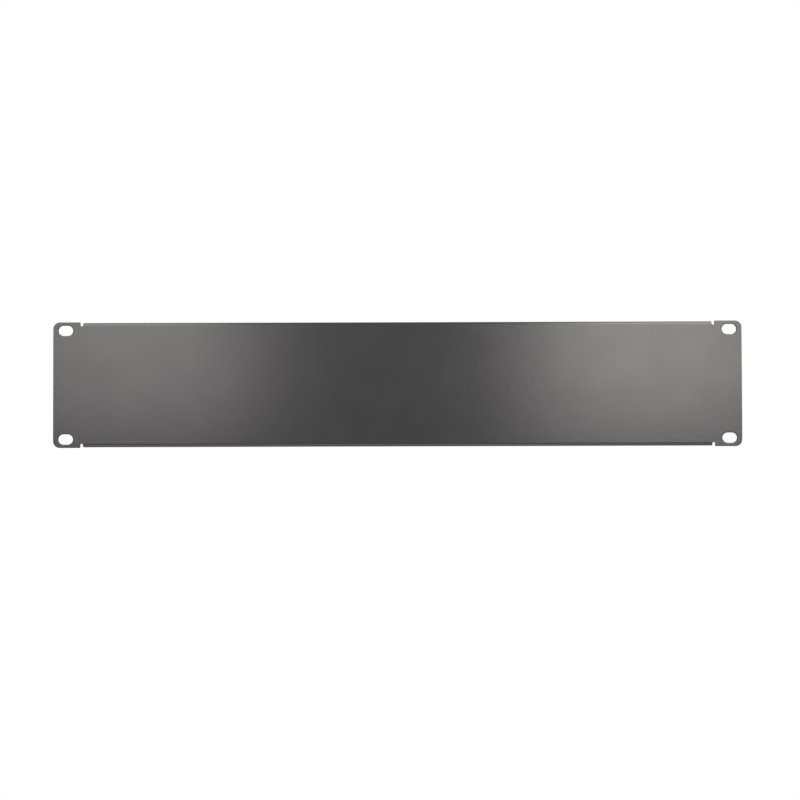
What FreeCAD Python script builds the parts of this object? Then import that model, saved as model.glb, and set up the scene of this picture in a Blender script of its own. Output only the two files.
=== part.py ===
import FreeCAD, Part
import math
import os
import Sketcher

# A rack blanking panel, two rack units high, folded from one sheet of steel: a flat face with a slotted ear
# at each end, and a flange turned back along its top and bottom, between four round relief notches.
# Millimetres. +X runs along the panel to the right, +Z is up and the front faces -Y. The origin is the middle
# of the four slots on the seating plane, which is the back of the ears and lies on the rack's rails.

NODE = "blanking_panel"

# The driving sizes: name, millimetres, what it measures.
SIZES = [
    ("panel_width", 482.6, "over both ears: the 19 inch rack standard"),
    ("rack_height", 88.9, "two rack units"),
    ("panel_gap", 0.8, "left free between this panel and the next"),
    ("sheet_thickness", 1.2, "the steel sheet"),
    ("ear_width", 19.0, "end of the panel to its relief notches"),
    ("ear_corner_radius", 4.75, "outer corners of the ears"),
    ("relief_width", 1.9, "an ear to the end of a flange"),
    ("relief_past_bend", 0.1, "how far a notch runs into the flat face, beyond the bend"),
    ("relief_mouth_radius", 0.5, "inner corners of the ears, at the mouth of a notch"),
    ("bend_inner_radius", 1.2, "inside of the fold"),
    ("flange_set_in", 0.4, "edge of the ears to the outside of a flange"),
    ("overall_depth", 15.0, "front of the face to the free edge of the flanges"),
    ("flange_corner_radius", 2.0, "free corners of the flanges"),
    ("slot_from_end", 8.75, "end of the panel to the middle of a slot"),
    ("slot_from_rack_line", 6.35, "edge of the rack units to the middle of a slot"),
    ("slot_length", 10.2, "end to end, along the panel"),
    ("slot_height", 7.1, "clear of an M6 screw"),
    ("slot_rim_radius", 0.6, "drawn down round the front of a slot by its punch"),
    ("rolled_edge_radius", 0.3, "drawn down along the outer side of every other cut edge"),
]

# Places that follow from the driving sizes, worked out in the same sheet.
PLACES = [
    ("panel_height", "=rack_height - panel_gap", "over the ears"),
    ("ear_edge", "=panel_height / 2", "height of the ears' long edges"),
    ("flange_outside", "=ear_edge - flange_set_in", "height of a flange's outside"),
    ("bend_outer_radius", "=bend_inner_radius + sheet_thickness", "outside of the fold"),
    ("bend_start", "=flange_outside - bend_outer_radius", "height where the flat face ends"),
    ("flange_room_depth", "=ear_edge - bend_start", "edge of the ears to the end of the flat face"),
    ("width_between_ears", "=panel_width - 2 * ear_width", "ear to ear"),
    ("flange_length", "=width_between_ears - 2 * relief_width", "end to end of a flange"),
    ("width_between_reliefs", "=width_between_ears - relief_width", "middle to middle"),
    ("relief_across", "=width_between_reliefs / 2", "middle of the panel to the middle of a notch"),
    ("relief_radius", "=relief_width / 2", "round root of a notch"),
    ("relief_centre_up", "=bend_start - relief_past_bend + relief_radius", "centre of a notch's root"),
    ("flange_tip", "=overall_depth - sheet_thickness", "seating plane to a flange's free edge"),
    ("slot_across", "=panel_width / 2 - slot_from_end", "middle of the panel to the middle of a slot"),
    ("slot_up", "=rack_height / 2 - slot_from_rack_line", "middle of the panel to the middle of a slot"),
    ("slot_end_radius", "=slot_height / 2", "round ends of a slot"),
    ("slot_straight", "=slot_length - slot_height", "between the centres of the round ends"),
]

START, END, CENTRE = range(1, 4)  # the points of a sketched line or arc
LEVEL_AXIS, UPRIGHT_AXIS = range(-1, -3, -1)  # the axes of a sketch
ORIGIN = (LEVEL_AXIS, START)
NEAR = 1e-4  # two places this close are the same


def make_sheet(document):
    sheet = document.addObject("Spreadsheet::Sheet", "Sizes")
    for row, (alias, content, note) in enumerate(SIZES + PLACES, start=1):
        sheet.set(f"A{row}", note)
        sheet.set(f"B{row}", str(content))
        sheet.setAlias(f"B{row}", alias)
    document.recompute()
    return sheet


# Sketching


def origin_plane(body, role):
    return next(item for item in body.Origin.OriginFeatures if item.Role == role)


def add_sketch(body, role, name):
    """An empty sketch on one of the body's own origin planes."""
    sketch = body.newObject("Sketcher::SketchObject", name)
    sketch.AttachmentSupport = (origin_plane(body, role), [""])
    sketch.MapMode = "FlatFace"
    return sketch


def draw_line(sketch, start, end):
    return sketch.addGeometry(Part.LineSegment(FreeCAD.Vector(*start, 0), FreeCAD.Vector(*end, 0)))


def draw_arc(sketch, centre, radius, first, last):
    """An arc that turns anticlockwise from one direction to another, both in degrees."""
    circle = Part.Circle(FreeCAD.Vector(*centre, 0), FreeCAD.Vector(0, 0, 1), radius)
    return sketch.addGeometry(Part.ArcOfCircle(circle, math.radians(first), math.radians(last)))


def constrain(sketch, kind, *where):
    return sketch.addConstraint(Sketcher.Constraint(kind, *where))


def dimension(sketch, alias, kind, *where):
    """A dimension that follows the size of that name in the sheet."""
    value = float(sketch.Document.Sizes.get(alias))
    number = constrain(sketch, kind, *where, value)
    sketch.setExpression(f"Constraints[{number}]", f"Sizes.{alias}")


def draw_centred_rectangle(sketch, half_width, bottom, top):
    """A rectangle that reaches as far to the left of the upright axis as to its right."""
    corners = [(-half_width, bottom), (half_width, bottom), (half_width, top), (-half_width, top)]
    lines = [draw_line(sketch, start, end) for start, end in zip(corners, corners[1:] + corners[:1])]
    for line, following in zip(lines, lines[1:] + lines[:1]):
        constrain(sketch, "Coincident", line, END, following, START)
    low, right, high, left = lines
    constrain(sketch, "Symmetric", low, START, low, END, UPRIGHT_AXIS)
    constrain(sketch, "Vertical", left)
    constrain(sketch, "Vertical", right)
    constrain(sketch, "Horizontal", high)
    return low, right


# The flat face, and the flange that is folded back above it and below it


def add_flat_face(body, sheet):
    """The face and both ears as one plate, in front of the seating plane."""
    sketch = add_sketch(body, "XZ_Plane", "face_outline")
    low, right = draw_centred_rectangle(sketch, sheet.panel_width / 2, -sheet.ear_edge, sheet.ear_edge)
    dimension(sketch, "panel_width", "DistanceX", low, START, low, END)
    dimension(sketch, "panel_height", "DistanceY", right, START, right, END)
    dimension(sketch, "ear_edge", "DistanceY", *ORIGIN, right, END)
    plate = body.newObject("PartDesign::Pad", "flat_face")
    plate.Profile = sketch
    plate.setExpression("Length", "Sizes.sheet_thickness")


def add_flange_room(body, sheet):
    """Clears the plate above the bend, from the middle of one notch to the middle of the other."""
    sketch = add_sketch(body, "XZ_Plane", "flange_room_outline")
    low, right = draw_centred_rectangle(sketch, sheet.relief_across, sheet.bend_start, sheet.ear_edge)
    dimension(sketch, "width_between_reliefs", "DistanceX", low, START, low, END)
    dimension(sketch, "bend_start", "DistanceY", *ORIGIN, right, START)
    dimension(sketch, "flange_room_depth", "DistanceY", right, START, right, END)
    room = body.newObject("PartDesign::Pocket", "flange_room")
    room.Profile = sketch
    room.Reversed = True
    room.setExpression("Length", "Sizes.sheet_thickness")
    return room


def add_flange(body, sheet):
    """The top flange in section, the bend and the leg, as long as the sheet is before it is notched."""
    sketch = add_sketch(body, "YZ_Plane", "flange_section")
    thickness = sheet.sheet_thickness
    start = sheet.bend_start
    bend_centre = (sheet.bend_inner_radius, start)
    outside = sheet.flange_outside
    inside = sheet.flange_outside - thickness
    tip = sheet.flange_tip

    foot = draw_line(sketch, (0, start), (-thickness, start))
    bend_outside = draw_arc(sketch, bend_centre, sheet.bend_outer_radius, 90, 180)
    leg_outside = draw_line(sketch, (sheet.bend_inner_radius, outside), (tip, outside))
    free_edge = draw_line(sketch, (tip, outside), (tip, inside))
    leg_inside = draw_line(sketch, (tip, inside), (sheet.bend_inner_radius, inside))
    bend_inside = draw_arc(sketch, bend_centre, sheet.bend_inner_radius, 90, 180)

    constrain(sketch, "Coincident", foot, END, bend_outside, END)
    constrain(sketch, "Tangent", bend_outside, START, leg_outside, START)
    constrain(sketch, "Coincident", leg_outside, END, free_edge, START)
    constrain(sketch, "Coincident", free_edge, END, leg_inside, START)
    constrain(sketch, "Tangent", leg_inside, END, bend_inside, START)
    constrain(sketch, "Coincident", bend_inside, END, foot, START)
    constrain(sketch, "Coincident", bend_inside, CENTRE, bend_outside, CENTRE)
    for line in (foot, leg_outside, leg_inside):
        constrain(sketch, "Horizontal", line)
    constrain(sketch, "Vertical", free_edge)
    constrain(sketch, "PointOnObject", foot, START, UPRIGHT_AXIS)
    dimension(sketch, "bend_start", "DistanceY", *ORIGIN, foot, START)
    dimension(sketch, "bend_start", "DistanceY", *ORIGIN, bend_outside, CENTRE)
    dimension(sketch, "bend_inner_radius", "Radius", bend_inside)
    dimension(sketch, "bend_outer_radius", "Radius", bend_outside)
    dimension(sketch, "flange_tip", "DistanceX", *ORIGIN, leg_outside, END)

    flange = body.newObject("PartDesign::Pad", "top_flange")
    flange.Profile = sketch
    flange.SideType = "Symmetric"
    flange.setExpression("Length", "Sizes.width_between_reliefs")
    return flange


def add_bottom_flange(body, room, top_flange):
    """The bottom of the panel is the mirror image of its top."""
    mirrored = body.newObject("PartDesign::Mirrored", "bottom_flange")
    mirrored.Originals = [room, top_flange]
    mirrored.MirrorPlane = (origin_plane(body, "XY_Plane"), [""])
    body.Tip = mirrored


# The notches and slots, each drawn at the top right and repeated at the other three corners


def add_notch(body, sheet):
    """A round-ended notch that parts the flange from the ear and stops the bend from tearing the face."""
    sketch = add_sketch(body, "XZ_Plane", "notch_outline")
    radius = sheet.relief_radius
    centre = (sheet.relief_across, sheet.relief_centre_up)
    left = sheet.relief_across - radius
    right = sheet.relief_across + radius
    top = sheet.ear_edge

    flange_side = draw_line(sketch, (left, top), (left, sheet.relief_centre_up))
    root = draw_arc(sketch, centre, radius, 180, 360)
    ear_side = draw_line(sketch, (right, sheet.relief_centre_up), (right, top))
    mouth = draw_line(sketch, (right, top), (left, top))

    constrain(sketch, "Tangent", flange_side, END, root, START)
    constrain(sketch, "Tangent", root, END, ear_side, START)
    constrain(sketch, "Coincident", ear_side, END, mouth, START)
    constrain(sketch, "Coincident", mouth, END, flange_side, START)
    constrain(sketch, "Horizontal", mouth)
    constrain(sketch, "Vertical", flange_side)
    constrain(sketch, "Vertical", ear_side)
    dimension(sketch, "relief_across", "DistanceX", *ORIGIN, root, CENTRE)
    dimension(sketch, "relief_centre_up", "DistanceY", *ORIGIN, root, CENTRE)
    dimension(sketch, "relief_radius", "Radius", root)
    dimension(sketch, "ear_edge", "DistanceY", *ORIGIN, mouth, START)

    notch = body.newObject("PartDesign::Pocket", "notch")
    notch.Profile = sketch
    notch.SideType = "Symmetric"
    notch.Type = "ThroughAll"
    return notch


def add_slot(body, sheet):
    """A slot for a rail screw at the top right; its length lets the panel shift across the rack."""
    sketch = add_sketch(body, "XZ_Plane", "slot_outline")
    radius = sheet.slot_end_radius
    up = sheet.slot_up
    left_centre = sheet.slot_across - sheet.slot_straight / 2
    right_centre = sheet.slot_across + sheet.slot_straight / 2

    top = draw_line(sketch, (right_centre, up + radius), (left_centre, up + radius))
    left_end = draw_arc(sketch, (left_centre, up), radius, 90, 270)
    bottom = draw_line(sketch, (left_centre, up - radius), (right_centre, up - radius))
    right_end = draw_arc(sketch, (right_centre, up), radius, -90, 90)
    middle = sketch.addGeometry(Part.Point(FreeCAD.Vector(sheet.slot_across, up, 0)), True)

    constrain(sketch, "Tangent", top, END, left_end, START)
    constrain(sketch, "Tangent", left_end, END, bottom, START)
    constrain(sketch, "Tangent", bottom, END, right_end, START)
    constrain(sketch, "Tangent", right_end, END, top, START)
    constrain(sketch, "Horizontal", top)
    constrain(sketch, "Equal", left_end, right_end)
    constrain(sketch, "Symmetric", left_end, CENTRE, right_end, CENTRE, middle, START)
    dimension(sketch, "slot_across", "DistanceX", *ORIGIN, middle, START)
    dimension(sketch, "slot_up", "DistanceY", *ORIGIN, middle, START)
    dimension(sketch, "slot_end_radius", "Radius", left_end)
    dimension(sketch, "slot_straight", "DistanceX", left_end, CENTRE, right_end, CENTRE)

    slot = body.newObject("PartDesign::Pocket", "slot")
    slot.Profile = sketch
    slot.Reversed = True
    slot.setExpression("Length", "Sizes.sheet_thickness")
    return slot


def repeat_at_corners(body, notch, slot):
    repeated = body.newObject("PartDesign::MultiTransform", "notches_and_slots")
    repeated.Originals = [notch, slot]
    body.Tip = repeated
    across = body.newObject("PartDesign::Mirrored", "repeated_across")
    across.MirrorPlane = (origin_plane(body, "YZ_Plane"), [""])
    up = body.newObject("PartDesign::Mirrored", "repeated_up")
    up.MirrorPlane = (origin_plane(body, "XY_Plane"), [""])
    repeated.Transformations = [across, up]


# The rounded corners and edges


def edges_at(shape, **places):
    """Names of the straight edges that stand this far from the middle planes, on either side of each."""
    names = []
    for number, edge in enumerate(shape.Edges, start=1):
        points = [vertex.Point for vertex in edge.Vertexes] + [edge.CenterOfMass]
        misses = [abs(getattr(point, axis)) - place for point in points for axis, place in places.items()]
        if all(abs(miss) < NEAR for miss in misses):
            names.append(f"Edge{number}")
    return names


def round_edges(body, name, edges, radius_alias):
    base = body.Tip
    rounding = body.newObject("PartDesign::Fillet", name)
    rounding.Base = (base, edges)
    rounding.setExpression("Radius", f"Sizes.{radius_alias}")
    body.Document.recompute()


def round_corners(body, sheet):
    """The corners of the blank, seen flat, before the edges are rolled."""
    ear_corners = edges_at(body.Shape, x=sheet.panel_width / 2, z=sheet.ear_edge)
    round_edges(body, "ear_corners", ear_corners, "ear_corner_radius")
    relief_mouths = edges_at(body.Shape, x=sheet.width_between_ears / 2, z=sheet.ear_edge)
    round_edges(body, "relief_mouths", relief_mouths, "relief_mouth_radius")
    flange_corners = edges_at(body.Shape, x=sheet.flange_length / 2, y=sheet.flange_tip)
    round_edges(body, "flange_corners", flange_corners, "flange_corner_radius")


def outside_faces(shape, sheet):
    """The outer side of the folded sheet: the front, and the outside of both bends and both flanges."""
    faces = []
    for face in shape.Faces:
        middle = face.CenterOfMass
        if isinstance(face.Surface, Part.Cylinder):
            runs_across = abs(face.Surface.Axis.x) > 1 - NEAR
            outside = runs_across and abs(face.Surface.Radius - sheet.bend_outer_radius) < NEAR
        else:
            front = abs(middle.y + sheet.sheet_thickness) < NEAR
            flange = abs(abs(middle.z) - sheet.flange_outside) < NEAR and middle.y > 0
            outside = front or flange
        if outside:
            faces.append(face)
    return faces


def is_at_slot(edge, sheet):
    middle = edge.CenterOfMass
    beside = abs(abs(middle.x) - sheet.slot_across) < sheet.slot_length / 2
    level = abs(abs(middle.z) - sheet.slot_up) < sheet.slot_end_radius + NEAR
    return beside and level


def rim_edges(shape, sheet, at_slots):
    """Names of the edges where the outer side ends, either at the slots or everywhere else."""
    faces = outside_faces(shape, sheet)
    names = []
    for number, edge in enumerate(shape.Edges, start=1):
        owners = [face for face in faces if any(edge.isSame(other) for other in face.Edges)]
        if len(owners) == 1 and is_at_slot(edge, sheet) == at_slots:
            names.append(f"Edge{number}")
    return names


def roll_edges(body, sheet):
    """The punch draws the sheet down along every edge it cuts, which leaves the outer side rounded."""
    round_edges(body, "rolled_edges", rim_edges(body.Shape, sheet, False), "rolled_edge_radius")
    round_edges(body, "slot_rims", rim_edges(body.Shape, sheet, True), "slot_rim_radius")


def make_panel(document, sheet):
    body = document.addObject("PartDesign::Body", NODE)
    add_flat_face(body, sheet)
    room = add_flange_room(body, sheet)
    top_flange = add_flange(body, sheet)
    add_bottom_flange(body, room, top_flange)
    notch = add_notch(body, sheet)
    slot = add_slot(body, sheet)
    repeat_at_corners(body, notch, slot)
    document.recompute()
    round_corners(body, sheet)
    roll_edges(body, sheet)
    return body


def check(document, body):
    for item in document.Objects:
        if "Invalid" in item.State or "Error" in item.State:
            raise RuntimeError(f"{item.Label} failed: {item.State}")
    if body.Shape.isNull() or not body.Shape.isValid() or len(body.Shape.Solids) != 1:
        raise RuntimeError(f"{body.Label} is not one valid solid")


document = FreeCAD.newDocument("BlankingPanel")
sizes = make_sheet(document)
panel = make_panel(document, sizes)
check(document, panel)
os.makedirs("parts", exist_ok=True)
panel.Shape.exportStep(f"parts/{panel.Label}.step")
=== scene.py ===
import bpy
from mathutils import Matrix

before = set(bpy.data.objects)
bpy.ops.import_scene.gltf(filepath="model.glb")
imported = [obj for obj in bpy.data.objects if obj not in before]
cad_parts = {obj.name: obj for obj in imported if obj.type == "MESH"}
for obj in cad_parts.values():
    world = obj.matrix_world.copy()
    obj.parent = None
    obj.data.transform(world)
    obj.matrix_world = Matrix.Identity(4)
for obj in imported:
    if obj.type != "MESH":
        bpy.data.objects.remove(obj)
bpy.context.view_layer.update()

# The blanking panel: one sheet of cold-rolled steel, punched, folded back along its top and bottom edges,
# and powder coated all over. It is a single piece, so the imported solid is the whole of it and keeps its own
# mesh; what it gets here is its coat.

MM = 0.001
COAT_BLACK = "#060606"
COAT_BLACK_THIN = "#0a0a0a"
COAT_IOR = 1.52
COAT_ROUGHNESS = 0.224
COAT_ROUGHNESS_SPREAD = 0.012
FLOW_WIDTH = 22 * MM
FLOW_DETAIL = 2  # how many times a noise is halved in width and added to itself
FINE_DETAIL = 1
PEEL_WIDTH = 4 * MM
PEEL_HEIGHT = 0.026 * MM
GRAIN_WIDTH = 0.9 * MM
GRAIN_HEIGHT = 0.004 * MM
NOISE_LOW, NOISE_HIGH = 0.3, 0.7  # nearly all of a noise lies between these
MIX_FIRST, MIX_SECOND, MIX_RESULT = 6, 7, 2  # where a Mix node keeps its two colours and their mixture


def colour(hex_code):
    """An sRGB hex code as the linear colour that a shader takes."""
    parts = [int(hex_code[i:i + 2], 16) / 255 for i in (1, 3, 5)]
    linear = [p / 12.92 if p <= 0.04045 else ((p + 0.055) / 1.055) ** 2.4 for p in parts]
    return (*linear, 1.0)


def add_node(tree, kind, settings=None, inputs=None, **links):
    """Add a shader node with its own settings, its sockets' values, and the outputs linked to them."""
    node = tree.nodes.new(kind)
    for name, value in (settings or {}).items():
        setattr(node, name, value)
    for name, value in (inputs or {}).items():
        node.inputs[name].default_value = value
    for name, source in links.items():
        tree.links.new(source, node.inputs[name.replace("_", " ")])
    return node


def satin_black_powder_coat():
    """Polyester powder, sprayed and baked: a deep black, satin, with the faintest orange peel."""
    material = bpy.data.materials.new("satin_black_powder_coat")
    material.use_nodes = True
    tree = material.node_tree
    coat = tree.nodes["Principled BSDF"]
    coat.inputs["IOR"].default_value = COAT_IOR
    place = add_node(tree, "ShaderNodeTexCoord").outputs["Object"]

    # The powder melts out a little thicker and thinner, so neither the black nor the sheen is quite even.
    flow = add_node(
        tree, "ShaderNodeTexNoise", inputs={"Scale": 1 / FLOW_WIDTH, "Detail": FLOW_DETAIL}, Vector=place,
    )
    limits = {"From Min": NOISE_LOW, "From Max": NOISE_HIGH}
    thinness = add_node(tree, "ShaderNodeMapRange", inputs=limits, Value=flow.outputs["Fac"])
    blacks = {MIX_FIRST: colour(COAT_BLACK), MIX_SECOND: colour(COAT_BLACK_THIN)}
    black = add_node(tree, "ShaderNodeMix", {"data_type": "RGBA"}, blacks, Factor=thinness.outputs["Result"])
    tree.links.new(black.outputs[MIX_RESULT], coat.inputs["Base Color"])
    limits = {
        "To Min": COAT_ROUGHNESS - COAT_ROUGHNESS_SPREAD,
        "To Max": COAT_ROUGHNESS + COAT_ROUGHNESS_SPREAD,
    }
    sheen = add_node(tree, "ShaderNodeMapRange", inputs=limits, Value=thinness.outputs["Result"])
    tree.links.new(sheen.outputs["Result"], coat.inputs["Roughness"])

    # Orange peel, 4 mm from crest to crest and about a hundredth of a millimetre high, with the powder's own
    # grain on it. The grain is really about 0.2 mm wide, too fine to show, so it is drawn coarser.
    grain = add_node(
        tree, "ShaderNodeTexNoise", inputs={"Scale": 1 / GRAIN_WIDTH, "Detail": FINE_DETAIL}, Vector=place,
    )
    peel = add_node(
        tree, "ShaderNodeTexNoise", inputs={"Scale": 1 / PEEL_WIDTH, "Detail": FINE_DETAIL}, Vector=place,
    )
    grained = add_node(
        tree, "ShaderNodeBump", inputs={"Distance": GRAIN_HEIGHT}, Height=grain.outputs["Fac"],
    )
    skin = add_node(
        tree, "ShaderNodeBump", inputs={"Distance": PEEL_HEIGHT},
        Height=peel.outputs["Fac"], Normal=grained.outputs["Normal"],
    )
    tree.links.new(skin.outputs["Normal"], coat.inputs["Normal"])
    return material


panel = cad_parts["blanking_panel"]
panel.data.materials.clear()
panel.data.materials.append(satin_black_powder_coat())


# The surround and the floor of the studio, both plain white to the eye and to the coat's own gloss. The
# panel hangs clear above the floor, as high as it may sit in a rack, and its shadow falls there.

FLOOR_DROP = 1.6
FLOOR_REACH = 5.5
FLOOR_PAINT = "#e7e7e7"
FLOOR_WHITE = 0.97
SURROUND_LIGHT = 0.05


def seen(tree):
    """1 for what the eye, a gloss or a clear piece sees of a surface, and 0 for the light it sheds."""
    path = add_node(tree, "ShaderNodeLightPath").outputs
    total = path["Is Camera Ray"]
    for kind in ("Is Glossy Ray", "Is Transmission Ray"):
        both = add_node(tree, "ShaderNodeMath", {"operation": "MAXIMUM"})
        tree.links.new(total, both.inputs[0])
        tree.links.new(path[kind], both.inputs[1])
        total = both.outputs["Value"]
    return total


scene = bpy.context.scene
scene.view_settings.view_transform = "Standard"

scene.world = bpy.data.worlds.new("white_surround")
scene.world.use_nodes = True
tree = scene.world.node_tree
strength = add_node(
    tree, "ShaderNodeMapRange", inputs={"To Min": SURROUND_LIGHT, "To Max": 1.0}, Value=seen(tree),
)
tree.nodes["Background"].inputs["Color"].default_value = colour("#ffffff")
tree.links.new(strength.outputs["Result"], tree.nodes["Background"].inputs["Strength"])

floor_paint = bpy.data.materials.new("matt_white_floor_paint")
floor_paint.use_nodes = True
tree = floor_paint.node_tree
tree.nodes.remove(tree.nodes["Principled BSDF"])
matt = add_node(tree, "ShaderNodeBsdfDiffuse", inputs={"Color": colour(FLOOR_PAINT)})
white = add_node(tree, "ShaderNodeMapRange", inputs={"To Max": FLOOR_WHITE}, Value=seen(tree))
glow = add_node(tree, "ShaderNodeEmission", Strength=white.outputs["Result"])
paint = add_node(tree, "ShaderNodeAddShader")
tree.links.new(matt.outputs["BSDF"], paint.inputs[0])
tree.links.new(glow.outputs["Emission"], paint.inputs[1])
tree.links.new(paint.outputs["Shader"], tree.nodes["Material Output"].inputs["Surface"])

corners = [(-1, -1), (1, -1), (1, 1), (-1, 1)]
floor_mesh = bpy.data.meshes.new("floor")
places = [(x * FLOOR_REACH, y * FLOOR_REACH, -FLOOR_DROP) for x, y in corners]
floor_mesh.from_pydata(places, [], [range(len(places))])
floor_mesh.materials.append(floor_paint)
floor = bpy.data.objects.new("floor", floor_mesh)
scene.collection.objects.link(floor)


# The lamps: a tall soft box on each side of the camera, with a strip leaning back from its top edge to over
# the panel, and a fill from below. The panel's ends mirror the boxes, its middle mirrors the gap between
# them, and its folded edges mirror the strips and the fill.

import math

from mathutils import Matrix, Vector

BOX_AWAY = 1.1
BOX_TOP = 0.32
BOXES = {  # middle and width across, height of its foot, radiance
    "left": (-0.378, 0.33, -0.020, 4.71),
    "right": (0.367, 0.34, -0.031, 6.65),
}
STRIP_END = Vector((0, 0, 0.9))
STRIP_SHARE = 1.1
FILL_PLACE = (0, -0.85, -0.9)
FILL_SIZE = (1.0, 1.3)
FILL_RADIANCE = 1.3
LAMP_TINT = "#fff8f8"


def soft_light(name, place, size, radiance, facing):
    """A rectangular lamp that a mirror would show with this radiance."""
    light = bpy.data.lights.new(name, "AREA")
    light.shape = "RECTANGLE"
    light.size, light.size_y = size
    light.color = colour(LAMP_TINT)[:3]
    light.energy = radiance * math.pi * size[0] * size[1]
    lamp = bpy.data.objects.new(name, light)
    lamp.location = place
    lamp.rotation_euler = Vector(facing).to_track_quat("-Z", "Y").to_euler()
    lamp.visible_camera = False
    scene.collection.objects.link(lamp)


for side, (across, width, foot, radiance) in BOXES.items():
    middle = (across, -BOX_AWAY, (foot + BOX_TOP) / 2)
    soft_light(f"{side}_soft_box", middle, (width, BOX_TOP - foot), radiance, (0, 1, 0))
    start = Vector((0, -BOX_AWAY, BOX_TOP))
    run = STRIP_END - start
    middle = (start + STRIP_END) / 2 + Vector((across, 0, 0))
    soft_light(f"{side}_strip", middle, (width, run.length), radiance * STRIP_SHARE, (0, run.z, -run.y))
soft_light("fill_from_below", FILL_PLACE, FILL_SIZE, FILL_RADIANCE, (0, 0, 1))


# The camera: straight in front, a little below the middle of the panel, and looking up at it very
# slightly. It leans a sixth of a degree, and its view is a little wider than the panel.

CAMERA_AWAY = 1.1
CAMERA_PITCH = math.radians(1.4)
CAMERA_ROLL = math.radians(0.166)
CAMERA_AIM = Vector((0.0017, 0, -0.01107))
VIEW_WIDTH = 0.5609

camera = bpy.data.objects.new("camera", bpy.data.cameras.new("camera"))
camera.data.lens = camera.data.sensor_width * CAMERA_AWAY / VIEW_WIDTH
camera.location = CAMERA_AIM - CAMERA_AWAY * Vector((0, math.cos(CAMERA_PITCH), math.sin(CAMERA_PITCH)))
level = Matrix.Rotation(math.pi / 2 + CAMERA_PITCH, 3, "X")
camera.rotation_euler = (level @ Matrix.Rotation(-CAMERA_ROLL, 3, "Z")).to_euler()
scene.collection.objects.link(camera)
scene.camera = camera
